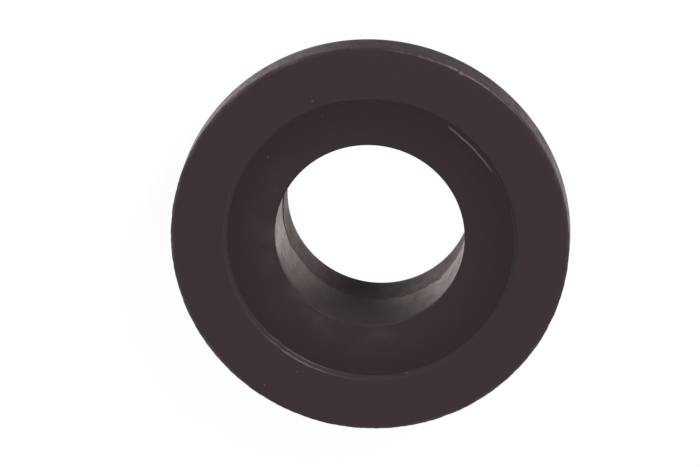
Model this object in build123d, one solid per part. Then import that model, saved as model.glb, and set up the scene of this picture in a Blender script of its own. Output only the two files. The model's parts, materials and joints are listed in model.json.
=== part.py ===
from build123d import *
import os

# Hose coupling seal, in millimetres: the rubber packing ring that sits in one half of
# a claw-type hose coupling. It is moulded in one piece and is round about +Z. The neck
# plugs into the coupling half, and the flange lies on its face. The ring stands on the
# rear end of its neck with the sealing land up, and the origin is the centre of that
# rear end.

# Driving dimensions
overall_height = 13.4       # rear end of the neck to the sealing land
bore_diameter = 16.2        # straight passage through the whole seal
neck_wall = 3.9             # rubber around the bore, behind the flange
flange_diameter = 34.0
flange_thickness = 3.0      # sealing land to the rear of the flange
land_width = 4.4            # flat sealing land, from the rim in to the recess
step_width = 0.36           # the step slopes from the land down into the recess
step_depth = 0.34           # sealing land down to the foot of the step
mouth_depth = 1.0           # the dished floor falls to this depth at the bore

# Moulded edges
rim_radius = 0.2            # both edges of the flange
lip_radius = 0.35           # where the land turns down the step
foot_radius = 0.25          # where the step runs out into the recess floor
bore_mouth_radius = 0.06    # a crisp edge, where the recess floor meets the bore
bore_rear_radius = 0.2      # rear mouth of the bore
neck_root_radius = 0.8      # inside corner under the flange
neck_end_radius = 0.5       # outer edge of the neck, which eases it into the coupling

# Radii and heights that follow from them
bore_radius = bore_diameter / 2
neck_radius = bore_radius + neck_wall
flange_radius = flange_diameter / 2
recess_radius = flange_radius - land_width
step_foot_height = overall_height - step_depth
bore_mouth_height = overall_height - mouth_depth
flange_rear_height = overall_height - flange_thickness


def half_section():
    """Return the closed half section in the XZ plane, with each of its corners rounded."""
    corners = [
        # distance from the axis, height, corner radius; from the bore mouth outwards
        (bore_radius, bore_mouth_height, bore_mouth_radius),
        (recess_radius - step_width, step_foot_height, foot_radius),
        (recess_radius, overall_height, lip_radius),
        (flange_radius, overall_height, rim_radius),
        (flange_radius, flange_rear_height, rim_radius),
        (neck_radius, flange_rear_height, neck_root_radius),
        (neck_radius, 0, neck_end_radius),
        (bore_radius, 0, bore_rear_radius),
    ]
    with BuildSketch(Plane.XZ) as section:
        with BuildLine():
            Polyline(*[(distance, height) for distance, height, radius in corners], close=True)
        make_face()
        for distance, height, radius in corners:
            fillet(section.vertices().sort_by_distance((distance, height))[0], radius)
    return section.sketch


def coupling_seal():
    """Turn the section about the bore axis into the one moulded piece."""
    with BuildPart() as seal:
        add(half_section())
        revolve(axis=Axis.Z)
    return seal.part


os.makedirs("parts", exist_ok=True)
export_step(coupling_seal(), "parts/coupling_seal.step")
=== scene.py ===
import bpy
import json
import math
import random
from mathutils import Matrix, Vector


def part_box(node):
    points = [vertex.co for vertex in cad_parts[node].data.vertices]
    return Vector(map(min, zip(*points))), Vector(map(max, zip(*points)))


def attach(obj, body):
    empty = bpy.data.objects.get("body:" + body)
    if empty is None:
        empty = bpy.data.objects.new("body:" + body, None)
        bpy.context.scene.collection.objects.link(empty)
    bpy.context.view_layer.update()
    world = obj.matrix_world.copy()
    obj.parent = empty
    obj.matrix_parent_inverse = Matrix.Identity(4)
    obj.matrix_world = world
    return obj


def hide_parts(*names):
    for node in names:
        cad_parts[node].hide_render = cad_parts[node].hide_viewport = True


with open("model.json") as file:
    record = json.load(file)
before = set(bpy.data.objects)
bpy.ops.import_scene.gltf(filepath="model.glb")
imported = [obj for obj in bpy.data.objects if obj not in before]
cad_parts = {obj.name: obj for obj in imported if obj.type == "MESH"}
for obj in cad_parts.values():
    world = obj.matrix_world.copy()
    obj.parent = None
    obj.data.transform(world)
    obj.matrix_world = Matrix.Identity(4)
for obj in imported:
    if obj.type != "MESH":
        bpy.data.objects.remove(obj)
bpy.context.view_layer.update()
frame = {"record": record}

MM = 0.001

# ---------------------------------------------------------------------------------
# The moulded ring. The whole seal is one pressing of black-brown nitrile rubber: a
# flange with a shallow dished recess in its sealing face, a bore and a plain neck. The
# mould closes at the front edge of the flange, and its two cores meet in the bore.
# ---------------------------------------------------------------------------------
seal_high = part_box("coupling_seal")[1]
mounts = {mount["name"]: mount for mount in frame["record"]["mounts"]}
seal_height = seal_high.z
bore_radius = mounts["bore"]["dims"]["r_mm"] * MM
neck_radius = mounts["neck"]["dims"]["r_mm"] * MM
flange_radius = min(seal_high.x, seal_high.y)
flange_back = mounts["flange_back"]["pos_m"][2]

land_width = 4.4 * MM
recess_radius = flange_radius - land_width
step_width = 0.36 * MM
step_depth = 0.34 * MM
mouth_depth = 1.0 * MM

rim_round = 0.2 * MM
lip_round = 0.35 * MM
foot_round = 0.25 * MM
bore_mouth_round = 0.04 * MM
bore_rear_round = 0.2 * MM
neck_root_round = 0.8 * MM
neck_end_round = 0.5 * MM

# The two cores meet below the middle of the bore, along a ragged line that leans a
# little, and leave a low ridge of flash there
core_line_height = 5.05 * MM
core_line_lean = 0.4 * MM
core_line_wander = 0.12 * MM
core_flash_height = 0.008 * MM
core_flash_unevenness = 0.6

# The front core sat a little off the axis, and its bore end a little off another way
recess_shift = 0.07 * MM
recess_shift_turn = math.radians(-167)
recess_wander = 0.02 * MM
mouth_shift = 0.1 * MM
mouth_shift_turn = math.radians(-45)

# The front edge of the flange is where the mould closes: its flash is torn off, one
# small piece of the edge is nicked away with it, and one stretch is rubbed rounder
torn_edge_depth = 0.035 * MM
front_edge_share = 0.55
rubbed_turn = math.radians(-106)
rubbed_half_width = math.radians(25)
# The rubbed stretch is also painted paler, as a painted highlight along the edge
rubbed_highlight_share = 0.45
rubbed_highlight_unevenness = 0.3
nick_depth = 0.12 * MM
nick_turn = math.radians(-105.3)
nick_half_width = math.radians(1.1)

# A thin bead of flash lies along the foot of the step for less than a tenth of a turn,
# straighter than the step itself. Its shape across is given as how far out from its
# crest, in mm, and its share of the height there
bead_height = 0.13 * MM
bead_turn = math.radians(-124)
bead_half_length = math.radians(13.5)
bead_inset = 0.62 * MM
bead_bow = 0.1 * MM
bead_shape = [(-0.12, 0), (-0.09, 0.4), (-0.04, 0.9), (0, 1), (0.04, 0.9), (0.08, 0.4), (0.1, 0)]

# The core flash in the same way: how far above its crest, and its share of the height
flash_shape = [(-0.3, 0), (-0.12, 0.05), (-0.05, 0.5), (0, 1), (0.05, 0.5), (0.12, 0.05), (0.3, 0)]

ring_steps = 720
full_turn = 2 * math.pi


def around(angle, middle):
    """The angle from middle to angle, the short way round."""
    return (angle - middle + math.pi) % full_turn - math.pi


def swell(angle, middle, half_width, sharpness):
    """1 at middle, falling to 0 half a width away on either side."""
    return max(0, 1 - abs(around(angle, middle) / half_width) ** sharpness)


def wander(angle, seed, slowest, fastest, waves=12):
    """A ragged value, mostly within -1 to 1, that joins up with itself round the seal."""
    chance = random.Random(seed)
    total = 0
    for wave in range(waves):
        turns = round(slowest * (fastest / slowest) ** (wave / (waves - 1)))
        total += chance.uniform(0.1, 0.4) * math.sin(turns * angle + chance.uniform(0, full_turn))
    return total


def run(start, end, pieces):
    """Points along a straight stretch of the section, without its two ends."""
    return [start.lerp(end, step / pieces) for step in range(1, pieces)]


def corner(before, here, after, radius, steps):
    """Points round a rounded corner of the section."""
    back = (before - here).normalized()
    ahead = (after - here).normalized()
    half = back.angle(ahead) / 2
    centre = here + (back + ahead).normalized() * radius / math.sin(half)
    first = (here + back * radius / math.tan(half) - centre).normalized()
    last = (here + ahead * radius / math.tan(half) - centre).normalized()
    return [centre + first.slerp(last, step / steps) * radius for step in range(steps + 1)]


def core_line(angle):
    """Where the two cores meet in the bore, as a height, at one angle."""
    lean = core_line_lean * math.cos(angle - recess_shift_turn)
    ragged = core_line_wander * wander(angle, seed=5, slowest=3, fastest=40)
    return core_line_height + lean + ragged


def section(angle):
    """The closed section at one angle: distances from the axis, heights, and how pale to paint
    each point, for the nick and a painted highlight on the rubbed edge and the bead.
    """
    torn = torn_edge_depth * max(0, 0.5 + 0.5 * wander(angle, seed=3, slowest=9, fastest=170))
    nick = swell(angle, nick_turn, nick_half_width, sharpness=2)
    rubbed = swell(angle, rubbed_turn, rubbed_half_width, sharpness=4)
    bead = swell(angle, bead_turn, bead_half_length, sharpness=4)
    flash_wander = wander(angle, seed=8, slowest=5, fastest=120)
    flash = core_flash_height * (1 + core_flash_unevenness * flash_wander)
    line = core_line(angle)
    recess_edge = recess_radius + recess_shift * math.cos(angle - recess_shift_turn)
    recess_edge += recess_wander * wander(angle, seed=6, slowest=5, fastest=60)
    bead_line = recess_edge - bead_inset + bead_bow * (1 - bead)
    front_bore = bore_radius + mouth_shift * math.cos(angle - mouth_shift_turn)

    bore_mouth = Vector((front_bore, seal_height - mouth_depth, 0))
    recess_foot = Vector((recess_edge - step_width, seal_height - step_depth, 0))
    recess_lip = Vector((recess_edge, seal_height, 0))
    rim_front = Vector((flange_radius - torn, seal_height, 0))
    rim_back = Vector((flange_radius, flange_back, 0))
    neck_root = Vector((neck_radius, flange_back, 0))
    neck_end = Vector((neck_radius, 0, 0))
    bore_rear = Vector((bore_radius, 0, 0))
    line_rear = Vector((bore_radius, line, 0))
    line_front = Vector((front_bore, line, 0))

    mouth = corner(line_front, bore_mouth, recess_foot, bore_mouth_round, steps=4)
    foot = corner(bore_mouth, recess_foot, recess_lip, foot_round, steps=4)
    lip = corner(recess_foot, recess_lip, rim_front, lip_round, steps=5)
    front_round = rim_round * front_edge_share * (1 + rubbed) + nick * nick_depth
    front = corner(recess_lip, rim_front, rim_back, front_round, steps=6)
    back = corner(rim_front, rim_back, neck_root, rim_round, steps=5)
    root = corner(rim_back, neck_root, neck_end, neck_root_round, steps=6)
    end = corner(neck_root, neck_end, bore_rear, neck_end_round, steps=5)
    rear = corner(neck_end, bore_rear, line_rear, bore_rear_round, steps=4)

    # The bead's crest is painted paler, as a painted highlight
    bead_points = []
    for out, share in bead_shape:
        bead_place = bead_line + out * MM
        along_floor = (bead_place - front_bore) / (recess_foot.x - front_bore)
        floor = bore_mouth.lerp(recess_foot, along_floor).y
        bead_points.append(Vector((bead_place, floor + share * bead * bead_height, share * bead)))
    flash_points = []
    for up, share in flash_shape:
        wall = bore_radius if up <= 0 else front_bore
        flash_points.append(Vector((wall - share * flash, line + up * MM, 0)))

    outline = mouth + run(mouth[-1], bead_points[0], 6) + bead_points
    outline += foot + run(foot[-1], lip[0], 3) + lip
    outline += run(lip[-1], front[0], 6) + front
    outline += run(front[-1], back[0], 5) + back
    outline += run(back[-1], root[0], 4) + root
    outline += run(root[-1], end[0], 6) + end
    outline += run(end[-1], rear[0], 4) + rear
    outline += run(rear[-1], flash_points[0], 5) + flash_points
    outline += run(flash_points[-1], mouth[0], 8)
    # Painted highlight along the rubbed stretch of the front edge; the nick is paler
    highlight_paint = rubbed_highlight_share + rubbed_highlight_unevenness * wander(angle, seed=4, slowest=20, fastest=200)
    for point in front[1:-1]:
        point.z = max(nick, rubbed * highlight_paint)
    return outline


points = []
above_core_line = []
pale_nick_and_highlight = []
for step in range(ring_steps):
    angle = full_turn * (step + 0.5) / ring_steps
    # The third value of each point is its paleness: the nick, and painted highlight on the rubbed
    # edge and the bead
    for from_axis, rise, torn in section(angle):
        points.append((from_axis * math.cos(angle), from_axis * math.sin(angle), rise))
        above_core_line.append(rise - core_line(angle))
        pale_nick_and_highlight.append(torn)
rows = len(points) // ring_steps
faces = []
for step in range(ring_steps):
    here = step * rows
    there = (step + 1) % ring_steps * rows
    for row in range(rows):
        after = (row + 1) % rows
        faces.append((here + row, there + row, there + after, here + after))

ring_mesh = bpy.data.meshes.new("moulded_ring")
ring_mesh.from_pydata(points, [], faces)
ring_mesh.shade_smooth()
line_attribute = ring_mesh.attributes.new("above_core_line", "FLOAT", "POINT")
line_attribute.data.foreach_set("value", above_core_line)
# Paleness of the nick and the painted highlight, for the material
nick_and_highlight_attribute = ring_mesh.attributes.new("pale_nick_and_highlight", "FLOAT", "POINT")
nick_and_highlight_attribute.data.foreach_set("value", pale_nick_and_highlight)
ring_mesh.update()
moulded_ring = bpy.data.objects.new("moulded_ring", ring_mesh)
bpy.context.scene.collection.objects.link(moulded_ring)

# The rubber is compounded dark brown-black and leaves the mould matt on its faces, with
# the fine turning of the mould on it. The upright walls have a thin gloss that shows at
# a low angle. The front edge of the flange is paler, most of all toward +X. Painted light
# lies on the step, and a painted highlight on the rubbed edge and the bead.
rubber = bpy.data.materials.new("nitrile_rubber")
rubber.use_nodes = True
nodes = rubber.node_tree.nodes
links = rubber.node_tree.links
shader = nodes["Principled BSDF"]


def wire(value, socket):
    """Set a socket to a number or colour, or link an output to it."""
    if isinstance(value, bpy.types.NodeSocket):
        links.new(value, socket)
    else:
        socket.default_value = value


def calc(operation, *values):
    """A Math node's output."""
    node = nodes.new("ShaderNodeMath")
    node.operation = operation
    for value, socket in zip(values, node.inputs):
        wire(value, socket)
    return node.outputs[0]


def ramp(value, low, high, to_low=0.0, to_high=1.0):
    """Map low..high of a value smoothly to to_low..to_high."""
    node = nodes.new("ShaderNodeMapRange")
    node.interpolation_type = "SMOOTHSTEP"
    wire(value, node.inputs["Value"])
    wire(low, node.inputs["From Min"])
    wire(high, node.inputs["From Max"])
    wire(to_low, node.inputs["To Min"])
    wire(to_high, node.inputs["To Max"])
    return node.outputs["Result"]


def grain(where, size, detail=2.0, rough=0.5):
    """Noise whose lumps are about size metres across."""
    node = nodes.new("ShaderNodeTexNoise")
    wire(where, node.inputs["Vector"])
    node.inputs["Scale"].default_value = 1 / size
    node.inputs["Detail"].default_value = detail
    node.inputs["Roughness"].default_value = rough
    return node.outputs["Fac"]


def patches(where, size, detail, rough, strength):
    """Noise that swings to either side of zero, times strength."""
    return calc("MULTIPLY", calc("SUBTRACT", grain(where, size, detail, rough), 0.5), strength)


def tint(amount, first, second):
    """A mix of two colours."""
    node = nodes.new("ShaderNodeMix")
    node.data_type = "RGBA"
    wire(amount, node.inputs["Factor"])
    wire(first, node.inputs["A"])
    wire(second, node.inputs["B"])
    return node.outputs["Result"]


def blend(amount, first, second):
    """A mix of two numbers."""
    node = nodes.new("ShaderNodeMix")
    wire(amount, node.inputs["Factor"])
    wire(first, node.inputs["A"])
    wire(second, node.inputs["B"])
    return node.outputs["Result"]


def apart(vector):
    """The X, Y and Z of a vector."""
    node = nodes.new("ShaderNodeSeparateXYZ")
    links.new(vector, node.inputs[0])
    return node.outputs


coordinates = nodes.new("ShaderNodeTexCoord")
place = coordinates.outputs["Object"]
place_x, place_y, height = apart(place)
flat = calc("SQRT", calc("ADD", calc("POWER", place_x, 2), calc("POWER", place_y, 2)))
toward_x = calc("DIVIDE", place_x, flat)
toward_y = calc("DIVIDE", place_y, flat)
facing = apart(coordinates.outputs["Normal"])
upward = facing["Z"]
above_line = nodes.new("ShaderNodeAttribute")
above_line.attribute_name = "above_core_line"
# Paleness of the nick and painted highlight of the rubbed edge and the bead
nick_and_highlight_node = nodes.new("ShaderNodeAttribute")
nick_and_highlight_node.attribute_name = "pale_nick_and_highlight"

mouth_height = seal_height - mouth_depth
mouth_from = mouth_height - 0.05 * MM
mouth_to = mouth_height + 0.01 * MM
in_bore = calc(
    "MULTIPLY",
    ramp(flat, bore_radius + 0.15 * MM, bore_radius + 0.4 * MM, 1, 0),
    ramp(height, mouth_from, mouth_to, 1, 0),
)
in_recess = calc(
    "MULTIPLY",
    ramp(flat, recess_radius - 0.5 * MM, recess_radius + 0.15 * MM, 1, 0),
    ramp(height, mouth_from, mouth_to),
)
upright = calc("MAXIMUM", in_bore, ramp(calc("ABSOLUTE", upward), 0.01, 0.3, 1, 0))

# The line between the finishes of the two cores is ragged, most of all on the walls
# that face +X
line_ragged_size = 1.2 * MM
line_least_ragged = 0.5 * MM
line_most_ragged = 5 * MM
raggedness = ramp(facing["X"], -0.4, 0.4, line_least_ragged, line_most_ragged)
ragged = patches(place, line_ragged_size, 3.0, 0.6, raggedness)
front_core = ramp(calc("ADD", above_line.outputs["Fac"], ragged), -0.05 * MM, 0.1 * MM)

land_brown = (0.0365, 0.0243, 0.0263, 1)
warm_brown = (0.0390, 0.0253, 0.0268, 1)
recess_brown = (0.0325, 0.0213, 0.0223, 1)
# Painted shade at the foot of the recess
foot_shade_brown = (0.0240, 0.0152, 0.0160, 1)
bore_brown = (0.0150, 0.0080, 0.0080, 1)
# Colour of the pale smears, and of the painted light on the step
smear_and_painted_light_brown = (0.0480, 0.0370, 0.0390, 1)
pale_edge_brown = (0.1050, 0.0860, 0.0840, 1)
# Paler nick, and painted highlight on the rubbed edge and the bead
nick_and_highlight_brown = (0.1200, 0.1000, 0.1000, 1)

# The land varies a little in colour, and painted shade darkens the floor of the recess toward its
# foot
warm_patch_size = 9 * MM
colour = tint(ramp(grain(place, warm_patch_size), 0.35, 0.65), land_brown, warm_brown)
recess_colour = tint(ramp(flat, bore_radius, recess_radius), recess_brown, foot_shade_brown)

# Pale smears lie round the bore's mouth, on the part of the floor toward +X and +Y
smear_size = 2.5 * MM
smear_reach = 3 * MM
smear_strength = 0.6
smeared_part = ramp(calc("ADD", toward_x, toward_y), -0.3, 0.7, 0, smear_strength)
near_mouth = ramp(flat, bore_radius, bore_radius + smear_reach, 1, 0)
smears = calc("MULTIPLY", smeared_part, near_mouth)
smears = calc("MULTIPLY", smears, ramp(grain(place, smear_size, 3.0), 0.48, 0.68))
recess_colour = tint(smears, recess_colour, smear_and_painted_light_brown)
colour = tint(in_recess, colour, recess_colour)
colour = tint(in_bore, colour, bore_brown)

# Painted light brightens the slopes of the step all round, and thins out over its lip
painted_light_strength = 0.55
painted_light_on_lip = 0.3
on_slope = ramp(upward, 0.9, 0.985, painted_light_strength, 0)
on_step = ramp(flat, recess_radius - 0.65 * MM, recess_radius - 0.2 * MM)
over_lip = ramp(flat, recess_radius - 0.1 * MM, recess_radius + 0.1 * MM, 1, painted_light_on_lip)
painted_step_light = calc("MULTIPLY", calc("MULTIPLY", on_slope, on_step), over_lip)
colour = tint(painted_step_light, colour, smear_and_painted_light_brown)

# The front edge of the flange is paler most toward +X, less toward -X, and hardly in
# the narrow stretches between them
edge_paleness_size = 1.4 * MM
edge_strip = ramp(flat, flange_radius - 0.35 * MM, flange_radius - 0.05 * MM)
edge = calc("MULTIPLY", edge_strip, calc("SUBTRACT", 1, upright))
edge_paleness = calc("MULTIPLY", edge, ramp(grain(place, edge_paleness_size, 4.0, 0.65), 0.4, 0.65, 0.25, 0.9))
paler_minus_x = ramp(toward_x, -0.25, 0, 0.6, 0.1)
paler_plus_x = ramp(toward_x, 0.3, 0.6, 0, 0.9)
edge_paleness = calc("MULTIPLY", edge_paleness, calc("ADD", paler_minus_x, paler_plus_x))
colour = tint(edge_paleness, colour, pale_edge_brown)
# The nick paler, and a painted highlight along the rubbed edge and on the bead
colour = tint(nick_and_highlight_node.outputs["Fac"], colour, nick_and_highlight_brown)

# Specks of dust on the face: distance from the axis in mm, turn in degrees, size in mm
dust_grey = (0.1, 0.085, 0.08, 1)
speck_core = 0.4
level = nodes.new("ShaderNodeVectorMath")
level.operation = "MULTIPLY"
level.inputs[1].default_value = (1, 1, 0)
links.new(place, level.inputs[0])
dust = 0
specks = (
    (13.18, -56.4, 0.10),
    (11.22, -27.4, 0.08),
    (13.43, 74.6, 0.08),
    (15.99, 67.6, 0.09),
    (12.3, 117, 0.09),
    (11.62, -57.7, 0.06),
)
for from_axis, degrees, size in specks:
    turn = math.radians(degrees)
    speck = nodes.new("ShaderNodeVectorMath")
    speck.operation = "DISTANCE"
    links.new(level.outputs["Vector"], speck.inputs[0])
    speck.inputs[1].default_value = (
        from_axis * MM * math.cos(turn),
        from_axis * MM * math.sin(turn),
        0,
    )
    mark = ramp(speck.outputs["Value"], speck_core * size * MM, size * MM, 1, 0)
    dust = calc("MAXIMUM", dust, mark)
dust = calc("MULTIPLY", dust, ramp(upward, 0.4, 0.6))
colour = tint(dust, colour, dust_grey)
links.new(colour, shader.inputs["Base Color"])

# The faces have an even sheen and the upright walls an even gloss, the same all round
# but for small blotches and flecks. The bore is duller behind the core line.
face_rough = 0.29
wall_rough = 0.28
duller_behind_line = 0.2
blotch_size = 1.8 * MM
blotch_height = 2
blotch_strength = 0.35
fleck_size = 0.6 * MM
fleck_strength = 0.6
fleck_strength_in_bore = 0.25
sheen_patch_size = 3.5 * MM
sheen_patch_strength = 0.2
edge_shinier = 0.08
rubber_shine = 0.2

behind_line = calc("MULTIPLY", in_bore, calc("SUBTRACT", 1, front_core))
stretched = nodes.new("ShaderNodeMapping")
stretched.inputs["Scale"].default_value = (1, 1, 1 / blotch_height)
links.new(place, stretched.inputs["Vector"])
blotches = patches(stretched.outputs["Vector"], blotch_size, 4.0, 0.65, blotch_strength)
fleck_level = blend(in_bore, fleck_strength, fleck_strength_in_bore)
flecks = patches(place, fleck_size, 4.0, 0.7, fleck_level)
walls = calc("ADD", wall_rough, calc("MULTIPLY", behind_line, duller_behind_line))
walls = calc("ADD", walls, calc("ADD", blotches, flecks))
sheen_patches = patches(place, sheen_patch_size, 4.0, 0.55, sheen_patch_strength)
face = calc("ADD", face_rough, sheen_patches)
face = calc("SUBTRACT", face, calc("MULTIPLY", edge, edge_shinier))
links.new(blend(upright, face, walls), shader.inputs["Roughness"])
shader.inputs["Specular IOR Level"].default_value = rubber_shine

# The skin has a fine grain, with the turning marks of the mould across it, and is
# smoother on the upright walls
skin_grain_size = 0.12 * MM
skin_grain_share = 0.6
turning_pitch = 0.18 * MM
turning_share = 0.25
relief_height = 0.02 * MM
relief_strength = 0.35
wall_relief = 0.15

turning = nodes.new("ShaderNodeTexNoise")
turning.noise_dimensions = "1D"
turning.inputs["Scale"].default_value = 1 / turning_pitch
turning.inputs["Detail"].default_value = 1.0
links.new(calc("ADD", flat, height), turning.inputs["W"])
skin_grain = calc("MULTIPLY", grain(place, skin_grain_size, 2.0, 0.6), skin_grain_share)
relief = calc("ADD", skin_grain, calc("MULTIPLY", turning.outputs["Fac"], turning_share))
bump = nodes.new("ShaderNodeBump")
bump.inputs["Strength"].default_value = relief_strength
bump.inputs["Distance"].default_value = relief_height
links.new(calc("MULTIPLY", relief, ramp(upright, 0, 1, 1, wall_relief)), bump.inputs["Height"])
links.new(bump.outputs["Normal"], shader.inputs["Normal"])

ring_mesh.materials.append(rubber)
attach(moulded_ring, "root")
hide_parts("coupling_seal")

# ---------------------------------------------------------------------------------
# The table. A plain white sheet that the seal stands on, and that its walls mirror at
# a low angle. What they mirror is staged by place: brighter toward +X and -X than in
# front of and behind the seal, with a strength of 1 at most.
# ---------------------------------------------------------------------------------
table_reach = 1.5
table_sink = 0.01 * MM
table_white = (0.2, 0.2, 0.2, 1)
table_rough = 0.9
table_level = 0.88
bore_table_level = 0.97
plain_white = (1, 1, 1, 1)
warm_gloss = (1, 0.86, 0.84, 1)

bpy.ops.mesh.primitive_plane_add(size=2 * table_reach, location=(0, 0, -table_sink))
table = bpy.context.object
table.name = "table"
sheet = bpy.data.materials.new("white_sheet")
sheet.use_nodes = True
# from here on the helpers above add to the sheet
nodes = sheet.node_tree.nodes
links = sheet.node_tree.links
paper = nodes["Principled BSDF"]
paper.inputs["Base Color"].default_value = table_white
paper.inputs["Roughness"].default_value = table_rough
paper.inputs["Specular IOR Level"].default_value = 0.0
ray = nodes.new("ShaderNodeLightPath")
gloss = calc("MAXIMUM", ray.outputs["Is Glossy Ray"], ray.outputs["Is Transmission Ray"])
seen = calc("MAXIMUM", ray.outputs["Is Camera Ray"], gloss)
spot = nodes.new("ShaderNodeTexCoord").outputs["Object"]
length = nodes.new("ShaderNodeVectorMath")
length.operation = "LENGTH"
links.new(spot, length.inputs[0])
spot_distance = length.outputs["Value"]
spot_side = calc("DIVIDE", apart(spot)["X"], spot_distance)

# Mirrored in the bore is the table under the seal, and in the flange what lies beside it
table_glow = ramp(spot_distance, 9 * MM, 12 * MM, bore_table_level, table_level)
under = ramp(calc("ABSOLUTE", spot_side), 0.05, 0.75, 0.14, 1.03)
beside_plus_x = ramp(spot_side, 0.25, 1, 0.2, 0.75)
beside_minus_x = ramp(spot_side, -1, -0.25, 0.33, 0)
beside = calc("ADD", beside_plus_x, beside_minus_x)
mirrored = blend(ramp(spot_distance, 10 * MM, 14 * MM), under, beside)
table_glow = calc("MULTIPLY", table_glow, blend(gloss, 1, mirrored))
links.new(calc("MULTIPLY", seen, table_glow), paper.inputs["Emission Strength"])
links.new(tint(gloss, plain_white, warm_gloss), paper.inputs["Emission Color"])
table.data.materials.append(sheet)

# ---------------------------------------------------------------------------------
# The light. An even white room, and one small, slightly warm soft box up to the front
# left that draws a fine bright line along the edges that face it.
# ---------------------------------------------------------------------------------
room_level = 0.65
world = bpy.data.worlds.new("room")
world.use_nodes = True
world.node_tree.nodes["Background"].inputs["Color"].default_value = plain_white
world.node_tree.nodes["Background"].inputs["Strength"].default_value = room_level
bpy.context.scene.world = world

box_distance = 0.6
box_size = 0.16
box_power = 1.8
box_colour = (1, 0.88, 0.85)
box_turn = math.radians(-115)
box_rise = math.radians(45)
light = bpy.data.lights.new("soft_box", "AREA")
light.shape = "SQUARE"
light.size = box_size
light.energy = box_power
light.color = box_colour
soft_box = bpy.data.objects.new("soft_box", light)
bpy.context.scene.collection.objects.link(soft_box)
seal_middle = Vector((0, 0, seal_height))
towards_box = Vector((
    math.cos(box_rise) * math.cos(box_turn),
    math.cos(box_rise) * math.sin(box_turn),
    math.sin(box_rise),
))
soft_box.location = seal_middle + towards_box * box_distance
soft_box.rotation_euler = towards_box.to_track_quat("Z", "Y").to_euler()

# ---------------------------------------------------------------------------------
# The camera. It looks steeply down on the sealing face, turned so that the near side
# of the seal is at the top of the picture.
# ---------------------------------------------------------------------------------
camera_distance = 0.408
camera_tilt = math.radians(18.25)
camera_roll = math.radians(-167.3)
camera_lens = 246.9
sensor_width = 36
picture_width = 700
# how far the middle of the sealing face sits right of and below the middle of the
# picture, in 700ths of its width
face_right = 19.4
face_down = 7.45

camera_data = bpy.data.cameras.new("camera")
camera_data.sensor_width = sensor_width
camera_data.lens = camera_lens
camera = bpy.data.objects.new("camera", camera_data)
bpy.context.scene.collection.objects.link(camera)
focal = camera_data.lens / camera_data.sensor_width * picture_width
aim = Matrix.Rotation(camera_tilt, 4, "X") @ Matrix.Rotation(camera_roll, 4, "Z")
camera_place = seal_middle + aim.to_3x3() @ Vector((0, 0, camera_distance))
swing = Matrix.Rotation(math.atan(face_right / focal), 4, "Y")
swing = swing @ Matrix.Rotation(math.atan(face_down / focal), 4, "X")
camera.matrix_world = Matrix.Translation(camera_place) @ aim @ swing
bpy.context.scene.camera = camera

bpy.context.scene.view_settings.view_transform = "Standard"
